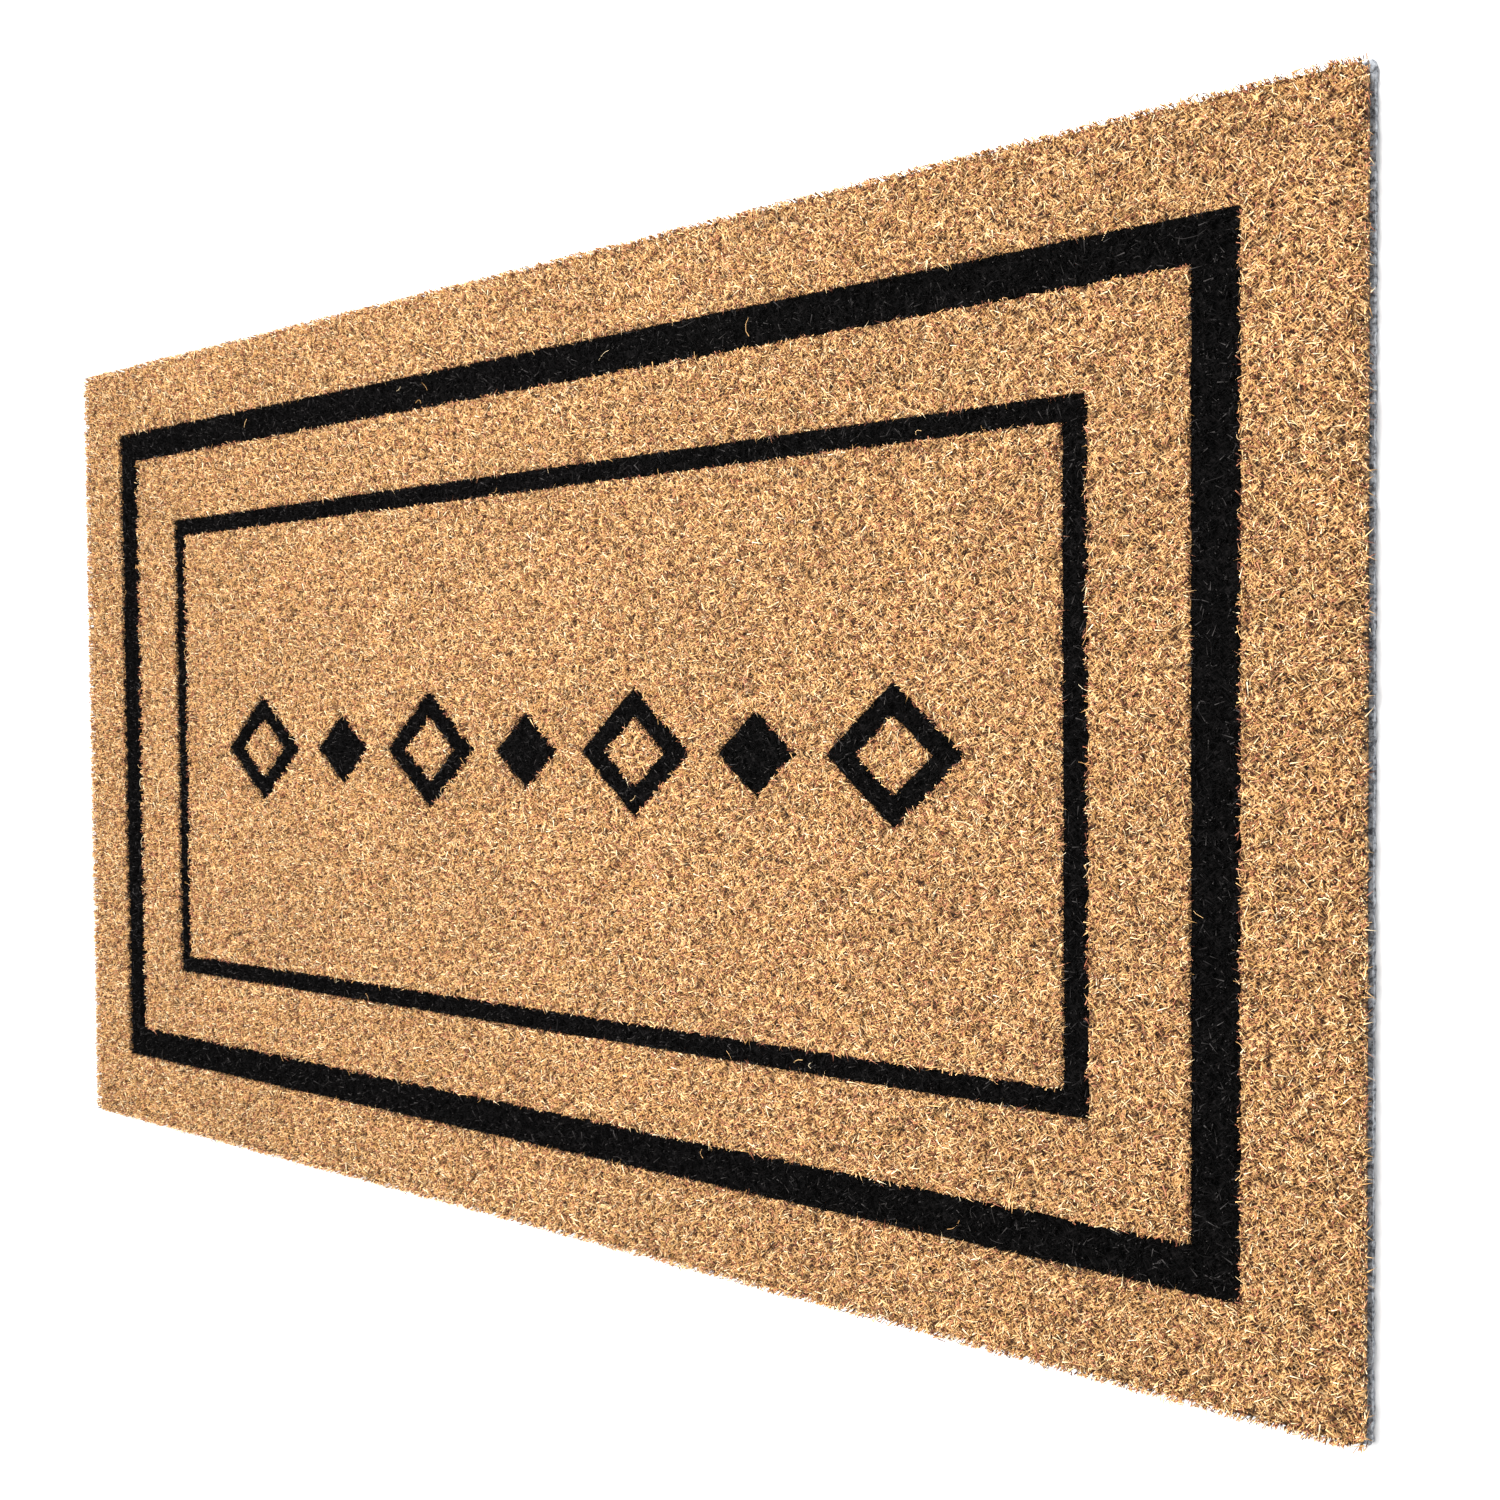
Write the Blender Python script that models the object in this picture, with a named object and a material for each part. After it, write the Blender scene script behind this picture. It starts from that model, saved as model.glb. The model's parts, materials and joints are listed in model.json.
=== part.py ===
"""A coir door mat: a PVC backing sheet that holds an upright pile of coconut fibre.

The mat lies flat. The origin is on the floor under its middle, +X runs along its long side,
+Y to the top of its pattern and +Z up through the pile. All lengths are in metres.

From the outside in, the pile is a natural border, a wide black frame, a second natural border, a
narrow black frame and a natural centre panel. A row of lozenges lies across the centre panel:
large open ones, each a black outline round a natural filling, with small solid ones between them.
"""

import math

import bmesh
import bpy

# The whole mat
MAT_LENGTH = 0.762
MAT_WIDTH = 0.4572
MAT_HEIGHT = 0.015

# The backing sheet
BACKING_THICKNESS = 0.003
BACKING_CORNER_RADIUS = 0.0015

# The pile stands a little inside the backing's cut edge, and its outer edge is rounded over
PILE_SETBACK = 0.0012
PILE_CORNER_RADIUS = 0.003
PILE_SHOULDER = 0.0025
SHOULDER_STEPS = 3
CORNER_STEPS = 6

# Neighbouring fields of the pile, and the pile and its backing, keep this much between them
CLEARANCE = 0.0003

# Widths of the fields, from the mat's cut edge inwards
OUTER_BORDER = 0.041
OUTER_FRAME = 0.017
MIDDLE_BORDER = 0.0385
INNER_FRAME = 0.0095

# The row of lozenges
OPEN_LOZENGES = 4
OPEN_LENGTH = 0.064
OPEN_HEIGHT = 0.058
OPEN_STROKE = 0.0095
SOLID_LENGTH = 0.040
SOLID_HEIGHT = 0.036
LOZENGE_SPACE = 0.0155

# How far a cutter runs past the pile, above and below
CUTTER_OVERRUN = 0.002

NATURAL_COIR = (0.64, 0.36, 0.16)
BLACK_COIR = (0.007, 0.006, 0.006)
GREY_PVC = (0.24, 0.27, 0.33)
COIR_ROUGHNESS = 0.9
PVC_ROUGHNESS = 0.6


def clear_scene():
    for old in list(bpy.data.objects):
        bpy.data.objects.remove(old, do_unlink=True)


def finish(name, colour, roughness):
    """A plain, non-metallic material of this colour."""
    material = bpy.data.materials.new(name)
    material.use_nodes = True
    shader = material.node_tree.nodes["Principled BSDF"]
    shader.inputs["Base Color"].default_value = (*colour, 1.0)
    shader.inputs["Roughness"].default_value = roughness
    shader.inputs["Metallic"].default_value = 0.0
    return material


def rectangle(length, width, radius=0.0):
    """The outline of a rectangle round the origin, anticlockwise, with its corners rounded to radius."""
    if radius == 0.0:
        return [
            (length / 2, -width / 2),
            (length / 2, width / 2),
            (-length / 2, width / 2),
            (-length / 2, -width / 2),
        ]
    outline = []
    for corner in range(4):
        turn = corner * math.pi / 2
        side_x = 1 if corner in (0, 3) else -1
        side_y = 1 if corner in (0, 1) else -1
        for step in range(CORNER_STEPS + 1):
            angle = turn + step / CORNER_STEPS * math.pi / 2
            x = side_x * (length / 2 - radius) + radius * math.cos(angle)
            y = side_y * (width / 2 - radius) + radius * math.sin(angle)
            outline.append((x, y))
    return outline


def lozenge(centre, length, height):
    """The outline of a lozenge whose middle is on the X axis, anticlockwise."""
    return [
        (centre + length / 2, 0.0),
        (centre, height / 2),
        (centre - length / 2, 0.0),
        (centre, -height / 2),
    ]


def shrunk_lozenge(length, height, inwards):
    """The length and height of a lozenge whose sides lie this far inside those of the given one."""
    shrink = 2 * inwards * math.hypot(length, height) / (length * height)
    return length * (1 - shrink), height * (1 - shrink)


def prism(name, outline, bottom, top, mat):
    """An upright solid over the outline, parented to the mat's empty."""
    shape = bmesh.new()
    base = shape.faces.new([shape.verts.new((x, y, bottom)) for x, y in outline])
    raised = bmesh.ops.extrude_face_region(shape, geom=[base])["geom"]
    lifted = [v for v in raised if isinstance(v, bmesh.types.BMVert)]
    bmesh.ops.translate(shape, verts=lifted, vec=(0.0, 0.0, top - bottom))
    bmesh.ops.recalc_face_normals(shape, faces=shape.faces)
    mesh = bpy.data.meshes.new(name)
    shape.to_mesh(mesh)
    shape.free()
    solid = bpy.data.objects.new(name, mesh)
    solid.parent = mat
    bpy.context.scene.collection.objects.link(solid)
    return solid


def round_shoulder(solid, top):
    """Rounds over the outer edge of the solid's top face."""
    weights = solid.data.attributes.new("bevel_weight_edge", "FLOAT", "EDGE")
    corners = solid.data.vertices
    for edge in solid.data.edges:
        at_top = all(abs(corners[v].co.z - top) < CLEARANCE for v in edge.vertices)
        weights.data[edge.index].value = 1.0 if at_top else 0.0
    bevel = solid.modifiers.new("rounded shoulder", "BEVEL")
    bevel.limit_method = "WEIGHT"
    bevel.width = PILE_SHOULDER
    bevel.segments = SHOULDER_STEPS


def cut_out(solid, outline, mat):
    """Cuts the outline right through the solid."""
    cutter = prism(
        f"{solid.name}_cutter_{len(solid.modifiers)}",
        outline,
        -CUTTER_OVERRUN,
        MAT_HEIGHT + CUTTER_OVERRUN,
        mat,
    )
    cutter.hide_render = True
    cutter.display_type = "WIRE"
    cut = solid.modifiers.new("cut-out", "BOOLEAN")
    cut.operation = "DIFFERENCE"
    cut.solver = "EXACT"
    cut.object = cutter


def pile_field(name, outline, openings, colour, mat, rounded=False):
    """One colour field of the pile, less its openings, with its outer edge rounded over if asked."""
    field = prism(name, outline, BACKING_THICKNESS + CLEARANCE, MAT_HEIGHT, mat)
    field.data.materials.append(finish(f"{name}_coir", colour, COIR_ROUGHNESS))
    if rounded:
        round_shoulder(field, MAT_HEIGHT)
    for opening in openings:
        cut_out(field, opening, mat)


def backing_sheet(mat):
    sheet = prism(
        "backing_sheet",
        rectangle(MAT_LENGTH, MAT_WIDTH, BACKING_CORNER_RADIUS),
        0.0,
        BACKING_THICKNESS,
        mat,
    )
    sheet.data.materials.append(finish("backing_sheet_pvc", GREY_PVC, PVC_ROUGHNESS))


def inset_rectangle(inset):
    """The outline that lies this far inside the mat's cut edge."""
    return rectangle(MAT_LENGTH - 2 * inset, MAT_WIDTH - 2 * inset)


def borders_and_frames(mat):
    """The four fields that run round the mat. Returns how far in from the cut edge they reach."""
    setback = 2 * PILE_SETBACK
    outline = rectangle(MAT_LENGTH - setback, MAT_WIDTH - setback, PILE_CORNER_RADIUS)
    opening = inset_rectangle(OUTER_BORDER)
    pile_field("coir_border_outer", outline, [opening], NATURAL_COIR, mat, rounded=True)

    inset = OUTER_BORDER
    for name, width, colour in (
        ("black_frame_outer", OUTER_FRAME, BLACK_COIR),
        ("coir_border_middle", MIDDLE_BORDER, NATURAL_COIR),
        ("black_frame_inner", INNER_FRAME, BLACK_COIR),
    ):
        outline = inset_rectangle(inset + CLEARANCE)
        inset += width
        pile_field(name, outline, [inset_rectangle(inset)], colour, mat)
    return inset


def centre_panel_and_lozenges(inset, mat):
    """The natural centre panel, and the row of lozenges let into it."""
    pitch = OPEN_LENGTH + SOLID_LENGTH + 2 * LOZENGE_SPACE
    first_open = -pitch * (OPEN_LOZENGES - 1) / 2
    clear = -CLEARANCE
    openings = []

    for number in range(OPEN_LOZENGES):
        centre = first_open + number * pitch
        outline = lozenge(centre, OPEN_LENGTH, OPEN_HEIGHT)
        inner_size = shrunk_lozenge(OPEN_LENGTH, OPEN_HEIGHT, OPEN_STROKE)
        filling_size = shrunk_lozenge(OPEN_LENGTH, OPEN_HEIGHT, OPEN_STROKE + CLEARANCE)
        opening = lozenge(centre, *inner_size)
        pile_field(f"black_lozenge_open_{number + 1}", outline, [opening], BLACK_COIR, mat)
        filling = lozenge(centre, *filling_size)
        pile_field(f"coir_lozenge_filling_{number + 1}", filling, [], NATURAL_COIR, mat)
        openings.append(lozenge(centre, *shrunk_lozenge(OPEN_LENGTH, OPEN_HEIGHT, clear)))

    for number in range(OPEN_LOZENGES - 1):
        centre = first_open + (number + 0.5) * pitch
        outline = lozenge(centre, SOLID_LENGTH, SOLID_HEIGHT)
        pile_field(f"black_lozenge_solid_{number + 1}", outline, [], BLACK_COIR, mat)
        openings.append(lozenge(centre, *shrunk_lozenge(SOLID_LENGTH, SOLID_HEIGHT, clear)))

    panel = inset_rectangle(inset + CLEARANCE)
    pile_field("coir_centre_panel", panel, openings, NATURAL_COIR, mat)


def build():
    clear_scene()
    mat = bpy.data.objects.new("door_mat", None)
    bpy.context.scene.collection.objects.link(mat)
    backing_sheet(mat)
    inset = borders_and_frames(mat)
    centre_panel_and_lozenges(inset, mat)


build()
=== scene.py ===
# %% [markdown]
# # A coir door mat
#
# A coir mat is two things: a sheet of soft PVC, and hundreds of thousands of stiff coconut fibres that
# stand in it. The fibres are set while the PVC is wet, then the pile is cut level and a pattern is dyed
# into it. This lesson builds the mat in that order: the sheet, the dense roots of the pile, the tufts
# of fibre on top, and last the dye.
#
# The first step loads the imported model. Its solids say where everything is, so no size is typed twice.

# %% Load the frame
import json
import math
import random

import bpy
import numpy as np
from mathutils import Matrix, Vector

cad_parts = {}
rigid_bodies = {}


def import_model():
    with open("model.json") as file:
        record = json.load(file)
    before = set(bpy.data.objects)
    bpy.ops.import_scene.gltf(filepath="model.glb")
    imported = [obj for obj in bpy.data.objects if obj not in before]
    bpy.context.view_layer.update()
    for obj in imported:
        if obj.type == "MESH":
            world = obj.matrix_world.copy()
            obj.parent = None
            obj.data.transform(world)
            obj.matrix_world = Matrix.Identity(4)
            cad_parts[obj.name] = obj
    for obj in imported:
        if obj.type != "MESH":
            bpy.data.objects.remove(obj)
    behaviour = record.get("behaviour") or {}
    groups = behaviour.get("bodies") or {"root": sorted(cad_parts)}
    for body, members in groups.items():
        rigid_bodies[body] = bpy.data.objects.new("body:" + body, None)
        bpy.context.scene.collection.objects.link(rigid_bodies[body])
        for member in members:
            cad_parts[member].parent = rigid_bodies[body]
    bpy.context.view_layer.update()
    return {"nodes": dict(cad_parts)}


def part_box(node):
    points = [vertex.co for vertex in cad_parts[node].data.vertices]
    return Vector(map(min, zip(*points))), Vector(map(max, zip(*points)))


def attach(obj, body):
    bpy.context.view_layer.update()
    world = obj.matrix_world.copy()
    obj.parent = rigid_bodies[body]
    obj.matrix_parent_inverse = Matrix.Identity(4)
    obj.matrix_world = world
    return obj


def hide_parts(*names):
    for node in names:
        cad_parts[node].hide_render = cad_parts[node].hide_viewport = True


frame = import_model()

MM = 0.001

backing_low, backing_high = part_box("backing_sheet")
pile_low, pile_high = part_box("coir_border_outer")
MAT_LENGTH = backing_high.x - backing_low.x
MAT_WIDTH = backing_high.y - backing_low.y
PILE_TOP = pile_high.z
bpy.ops.object.select_all(action="DESELECT")
print(f"mat {MAT_LENGTH:.3f} x {MAT_WIDTH:.3f} m, backing {backing_high.z:.4f}, pile top {PILE_TOP:.4f}")

# %% [markdown]
# ## Camera
#
# The mat lies flat, and the view shows it as if it stood upright: its long side runs across the view
# and its pattern's top points up. So the camera hangs above the mat and a little beyond its right-hand
# end, looks down along the mat, and is rolled until the mat's +Y points up in the view.

# %% Camera
CAMERA_PLACE = Vector((0.5141, 0.0173, 0.5269))
CAMERA_AIM = Vector((0.1335, 0.0016, 0.0145))
CAMERA_ROLL = math.radians(-0.44)
CAMERA_LENS = 36.42  # millimetres, on the 36 mm sensor


def look_at(place, aim, view_up):
    """The matrix of something at place that looks at aim, with view_up pointing up in its view."""
    forward = (aim - place).normalized()
    right = forward.cross(view_up).normalized()
    up = right.cross(forward)
    turned = Matrix((right, up, -forward)).transposed().to_4x4()
    return Matrix.Translation(place) @ turned


bpy.ops.object.camera_add()
camera = bpy.context.object
level_view = look_at(CAMERA_PLACE, CAMERA_AIM, Vector((0, 1, 0)))
camera.matrix_world = level_view @ Matrix.Rotation(CAMERA_ROLL, 4, "Z")
camera.data.lens = CAMERA_LENS
camera.data.clip_start = 0.01
bpy.context.scene.camera = camera
print(f"camera {(CAMERA_PLACE - CAMERA_AIM).length:.3f} m from the point that it looks at")

# %% [markdown]
# ## Node helper
#
# Materials and the scattering of the tufts are both node trees. One small helper adds a node, sets its
# options and gives each input a number or a link, so that a tree reads like a list of steps.

# %% Node helper


def node(tree, kind, inputs=None, **options):
    """Adds a node to the tree. An input's value is a number, a vector or another node's output."""
    made = tree.nodes.new(kind)
    for name, value in options.items():
        setattr(made, name, value)
    for name, value in (inputs or {}).items():
        if isinstance(value, bpy.types.NodeSocket):
            tree.links.new(value, made.inputs[name])
        else:
            made.inputs[name].default_value = value
    return made


def new_material(name, roughness, specular):
    """A Principled material with no metal. Returns the material, its tree and its shader."""
    material = bpy.data.materials.new(name)
    material.use_nodes = True
    tree = material.node_tree
    shader = tree.nodes["Principled BSDF"]
    shader.inputs["Metallic"].default_value = 0.0
    shader.inputs["Roughness"].default_value = roughness
    shader.inputs["Specular IOR Level"].default_value = specular
    return material, tree, shader


def colour_steps(tree, factor, steps):
    """A colour ramp fed by factor. steps holds (place from 0 to 1, linear colour) pairs."""
    ramp = node(tree, "ShaderNodeValToRGB", {"Fac": factor})
    elements = ramp.color_ramp.elements
    while len(elements) < len(steps):
        elements.new(0.5)
    for element, (place, colour) in zip(elements, steps):
        element.position = place
        element.color = (*colour, 1.0)
    return ramp.outputs["Color"]


def multiplied(tree, colour, factor):
    """The colour, made darker or lighter by a grey factor."""
    mix = node(tree, "ShaderNodeVectorMath", {0: colour, 1: factor}, operation="MULTIPLY")
    return mix.outputs[0]


# %% [markdown]
# ## Floor and light
#
# The mat is shown on plain white, in soft light with little shadow. A wide pale floor stands for that,
# with one soft light overhead and a second beyond the pattern's top, at +Y, that gives the fibres a
# bright and a dark side. The plain view transform is used, because it keeps the straw colours as
# saturated as they are.

# %% Floor and light
FLOOR_SIZE = 8.0
FLOOR_DROP = 0.0002

bpy.ops.mesh.primitive_plane_add(size=FLOOR_SIZE, location=(0, 0, -FLOOR_DROP))
floor = bpy.context.object
floor.name = "floor"
bpy.ops.object.transform_apply(location=True)
floor_material, floor_tree, floor_shader = new_material("pale floor", 0.9, 0.1)
floor_shader.inputs["Base Color"].default_value = (0.9, 0.9, 0.9, 1.0)
floor.data.materials.append(floor_material)


def soft_light(name, place, aim, size, power):
    """A square light of this size that shines from place to aim."""
    bpy.ops.object.light_add(type="AREA")
    light = bpy.context.object
    light.name = name
    light.matrix_world = look_at(Vector(place), Vector(aim), Vector((0.01, 1, 0.02)))
    light.data.size = size
    light.data.energy = power
    return light


soft_light("overhead softbox", (0.10, 0.06, 0.85), aim=(0.10, 0, 0), size=0.5, power=11.9)
soft_light("side softbox", (0.1, 1.2, 1.2), aim=(0.05, 0, 0), size=0.45, power=26.0)

world = bpy.data.worlds.new("white room")
bpy.context.scene.world = world
world.use_nodes = True
background = world.node_tree.nodes["Background"]
background.inputs["Color"].default_value = (1.0, 1.0, 1.0, 1.0)
background.inputs["Strength"].default_value = 0.8
bpy.context.scene.view_settings.view_transform = "Standard"
print(f"floor {FLOOR_SIZE:.0f} m wide, two soft lights, and a white room")

# %% [markdown]
# ## Hand tools
#
# A few moves come back on every piece: make one thing the active one, copy a solid of the frame as the
# start of a piece, pick vertices, edges or faces by where they are, and roughen a surface with a noise.

# %% Hand tools


def only_this(thing):
    """Makes thing the one selected, active object."""
    bpy.ops.object.select_all(action="DESELECT")
    thing.select_set(True)
    bpy.context.view_layer.objects.active = thing


def copy_of_node(node_name, name):
    """A copy of a solid of the frame with a mesh of its own, merged, and with its flat faces whole."""
    only_this(frame["nodes"][node_name])
    bpy.ops.object.duplicate()
    piece = bpy.context.object
    for key in list(piece.keys()):
        del piece[key]
    piece.name = piece.data.name = name
    piece.parent = None
    piece.data.materials.clear()
    bpy.ops.object.mode_set(mode="EDIT")
    bpy.ops.mesh.select_all(action="SELECT")
    bpy.ops.mesh.remove_doubles(threshold=MM / 50)
    bpy.ops.mesh.dissolve_limited(angle_limit=math.radians(1))
    bpy.ops.object.mode_set(mode="OBJECT")
    return piece


def select_points(piece, wanted):
    """In edit mode, selects the vertices that pass the test."""
    bpy.ops.mesh.select_mode(type="VERT")
    bpy.ops.mesh.select_all(action="DESELECT")
    bpy.ops.object.mode_set(mode="OBJECT")
    for vertex in piece.data.vertices:
        vertex.select = wanted(vertex.co)
    bpy.ops.object.mode_set(mode="EDIT")


def select_edges(piece, wanted):
    """In edit mode, selects the edges whose two ends pass the test."""
    bpy.ops.mesh.select_mode(type="EDGE")
    bpy.ops.mesh.select_all(action="DESELECT")
    bpy.ops.object.mode_set(mode="OBJECT")
    points = piece.data.vertices
    for edge in piece.data.edges:
        edge.select = wanted(points[edge.vertices[0]].co, points[edge.vertices[1]].co)
    bpy.ops.object.mode_set(mode="EDIT")


def select_faces(piece, wanted):
    """In edit mode, selects the faces that pass the test."""
    bpy.ops.mesh.select_mode(type="FACE")
    bpy.ops.mesh.select_all(action="DESELECT")
    bpy.ops.object.mode_set(mode="OBJECT")
    for face in piece.data.polygons:
        face.select = wanted(face)
    bpy.ops.object.mode_set(mode="EDIT")


def clouds(name, size):
    """A soft noise whose lumps are about this size."""
    texture = bpy.data.textures.new(name, "CLOUDS")
    texture.noise_scale = size
    texture.noise_depth = 2
    return texture


def roughen(piece, group, size, strength, direction="NORMAL"):
    """Pushes the vertices of a group in and out by a noise, up to half of strength each way."""
    displace = piece.modifiers.new("roughen", "DISPLACE")
    displace.texture = clouds(f"{piece.name} lumps", size)
    displace.texture_coords = "LOCAL"
    displace.vertex_group = group
    displace.direction = direction
    displace.mid_level = 0.5
    displace.strength = strength
    only_this(piece)
    bpy.ops.object.modifier_apply(modifier=displace.name)


def group_of(piece, name, wanted):
    """A vertex group of the vertices that pass the test."""
    group = piece.vertex_groups.new(name=name)
    group.add([v.index for v in piece.data.vertices if wanted(v.co)], 1.0, "REPLACE")
    return name


# %% [markdown]
# ## Backing sheet
#
# The backing is a sheet of blue-grey PVC, cut from a roll with a knife, so its edge is upright and a
# little ragged where fibres run through the cut. The edge is all that shows of it, so the work goes
# there: the sheet's two broad faces are taken off, the band of its rim is subdivided into short steps,
# the broad faces are put back whole, and a displacement roughens the rim.

# %% Backing sheet
RIM_STEP = 1.8 * MM
RIM_RAGGEDNESS = 2.2 * MM
RIM_LUMPS = 2.6 * MM
MOST_CUTS = 100

backing = copy_of_node("backing_sheet", "pvc_backing")
only_this(backing)
bpy.ops.object.mode_set(mode="EDIT")
select_faces(backing, lambda face: abs(face.normal.z) > 0.9)
bpy.ops.mesh.delete(type="ONLY_FACE")
for along, across in ((0, 1), (1, 0)):
    length = (MAT_LENGTH, MAT_WIDTH)[along]
    while length > RIM_STEP:
        cuts = min(MOST_CUTS, math.ceil(length / RIM_STEP) - 1)
        shortest = max(length * 0.8, RIM_STEP)
        select_edges(
            backing,
            lambda a, b: abs(a.z - b.z) < MM / 10
            and abs(a[across] - b[across]) < MM / 10
            and abs(a[along] - b[along]) > shortest,
        )
        bpy.ops.mesh.subdivide(number_cuts=cuts)
        length /= cuts + 1
select_edges(backing, lambda a, b: abs(a.z - b.z) > MM)
bpy.ops.mesh.subdivide(number_cuts=2)
bpy.ops.mesh.select_all(action="SELECT")
bpy.ops.mesh.fill_holes(sides=0)
bpy.ops.object.mode_set(mode="OBJECT")
roughen(backing, group_of(backing, "rim", lambda co: True), RIM_LUMPS, RIM_RAGGEDNESS)
for vertex in backing.data.vertices:
    vertex.co.z = max(vertex.co.z, 0.0)
only_this(backing)
bpy.ops.object.shade_smooth_by_angle(angle=math.radians(40))
print(f"{backing.name}: {len(backing.data.polygons)} faces")

# %% [markdown]
# ## Finishes
#
# Raw coir runs from dark brown to pale straw, and it varies most from fibre to fibre. A texture in space
# would paint bands across the fibres, so each fibre carries a random number instead, its shade, and a
# colour ramp turns it into one of the real fibre colours. Its clump makes it a little lighter or darker.
# Light hardly reaches into the pile, so every colour is also painted darker with depth, read from the
# height: painted shade.
# The dyed fibres are almost black, with a few painted lighter grey: painted highlights. The PVC and the
# imported roots are plain surfaces, so they get a noise for colour, another for roughness, and a bump;
# their colours also hold painted shade, in the PVC's pits and in the roots' gaps and low down.

# %% Coir finishes
def attribute(tree, name):
    """A number that the mesh carries under this name."""
    return node(tree, "ShaderNodeAttribute", attribute_name=name).outputs["Fac"]


def between(tree, value, low, high, at_low, at_high):
    """Maps the value from one range to another, without going past its ends."""
    made = node(
        tree,
        "ShaderNodeMapRange",
        {"Value": value, "From Min": low, "From Max": high, "To Min": at_low, "To Max": at_high},
    )
    return made.outputs["Result"]


def height(tree):
    """How high a point stands over the floor."""
    place = node(tree, "ShaderNodeTexCoord").outputs["Object"]
    return node(tree, "ShaderNodeSeparateXYZ", {0: place}).outputs["Z"]


def noise(tree, size, detail=2.0, stretch=(1, 1, 1), roughness=0.5, turn=0.0):
    """A noise whose lumps are this size, and some times longer along an axis, turned about Z."""
    place = node(tree, "ShaderNodeTexCoord").outputs["Object"]
    place = node(
        tree,
        "ShaderNodeMapping",
        {"Vector": place, "Scale": stretch, "Rotation": (0, 0, turn)},
        vector_type="TEXTURE",
    ).outputs[0]
    made = node(
        tree,
        "ShaderNodeTexNoise",
        {"Vector": place, "Scale": 1.0 / size, "Detail": detail, "Roughness": roughness},
    )
    return made.outputs["Fac"]


def fibre_finish(name, steps, deepest, roughness, specular):
    """A finish for single fibres: a shade ramp, varied by clump and by patches, with painted shade by
    depth.
    """
    material, tree, shader = new_material(name, 0.6, specular)
    colour = colour_steps(tree, attribute(tree, "shade"), steps)
    clump_tint = between(tree, attribute(tree, "clump"), 0, 1, *TINT_RANGE)
    patch_tint = between(tree, noise(tree, PATCH_SIZE), *NOISE_RANGE, *TINT_RANGE)
    # Painted shade: fibres are darker lower in the pile, where less light reaches.
    painted_depth_shade = between(tree, attribute(tree, "level"), *DEPTH_SHADE_RANGE, deepest, 1.0)
    for factor in (clump_tint, patch_tint, painted_depth_shade):
        colour = multiplied(tree, colour, factor)
    tree.links.new(colour, shader.inputs["Base Color"])
    rough = between(tree, attribute(tree, "shade"), 0, 1, *roughness)
    tree.links.new(rough, shader.inputs["Roughness"])
    return material


NOISE_RANGE = (0.3, 0.7)  # nearly all of a noise lies between these
TINT_RANGE = (0.93, 1.06)
PATCH_SIZE = 60 * MM
# Painted shade by depth: fibres darken from the top of this range down to its bottom.
DEPTH_SHADE_RANGE = (0.74, 0.95)  # shares of the pile's height
COIR_SHADES = [
    (0.0, (0.03, 0.010, 0.006)),
    (0.12, (0.13, 0.045, 0.028)),
    (0.21, (0.36, 0.12, 0.06)),
    (0.31, (0.60, 0.27, 0.15)),
    (0.44, (0.52, 0.29, 0.085)),
    (0.60, (0.80, 0.445, 0.17)),
    (0.80, (0.96, 0.62, 0.28)),
    (1.0, (1.0, 0.84, 0.55)),
]
# Near-black dye. The last steps make a few fibres lighter grey: painted highlights.
DYED_SHADES_AND_HIGHLIGHTS = [
    (0.0, (0.0015, 0.0015, 0.0015)),
    (0.80, (0.0030, 0.0026, 0.0026)),
    (0.90, (0.011, 0.010, 0.010)),
    (1.0, (0.060, 0.055, 0.053)),
]
natural_coir = fibre_finish("natural coir", COIR_SHADES, 0.26, (0.75, 0.5), 0.3)
black_coir = fibre_finish("black dyed coir", DYED_SHADES_AND_HIGHLIGHTS, 0.5, (0.85, 0.6), 0.05)

# %% PVC and root finishes
def bumped(tree, shader, height_value, depth):
    """Gives the shader a bump of this depth from a height between 0 and 1."""
    bump = node(tree, "ShaderNodeBump", {"Height": height_value, "Distance": depth})
    tree.links.new(bump.outputs["Normal"], shader.inputs["Normal"])


def varied(tree, shader, colour, size, roughness):
    """Varies the colour in patches, and the roughness in lumps of this size. Returns the colour."""
    rough = between(tree, noise(tree, size), *NOISE_RANGE, *roughness)
    tree.links.new(rough, shader.inputs["Roughness"])
    return multiplied(tree, colour, between(tree, noise(tree, 25 * MM), *NOISE_RANGE, 0.9, 1.1))


def pvc_finish():
    """Soft PVC: mottled blue-grey, with the small pits that the knife leaves, and painted shade that makes
    the pits darker.
    """
    material, tree, shader = new_material("grey pvc", 0.6, 0.4)
    grain_and_shade = noise(tree, 1.7 * MM, 4.0, (1, 1, 2), 0.7)
    # The colour follows the bump's grain and is darkest where the bump is lowest: painted shade in the
    # pits.
    colour = varied(tree, shader, colour_steps(tree, grain_and_shade, PVC_MOTTLE_AND_SHADE), 3 * MM, (0.45, 0.7))
    tree.links.new(colour, shader.inputs["Base Color"])
    bumped(tree, shader, grain_and_shade, BUMP_DEPTH)
    return material


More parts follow.
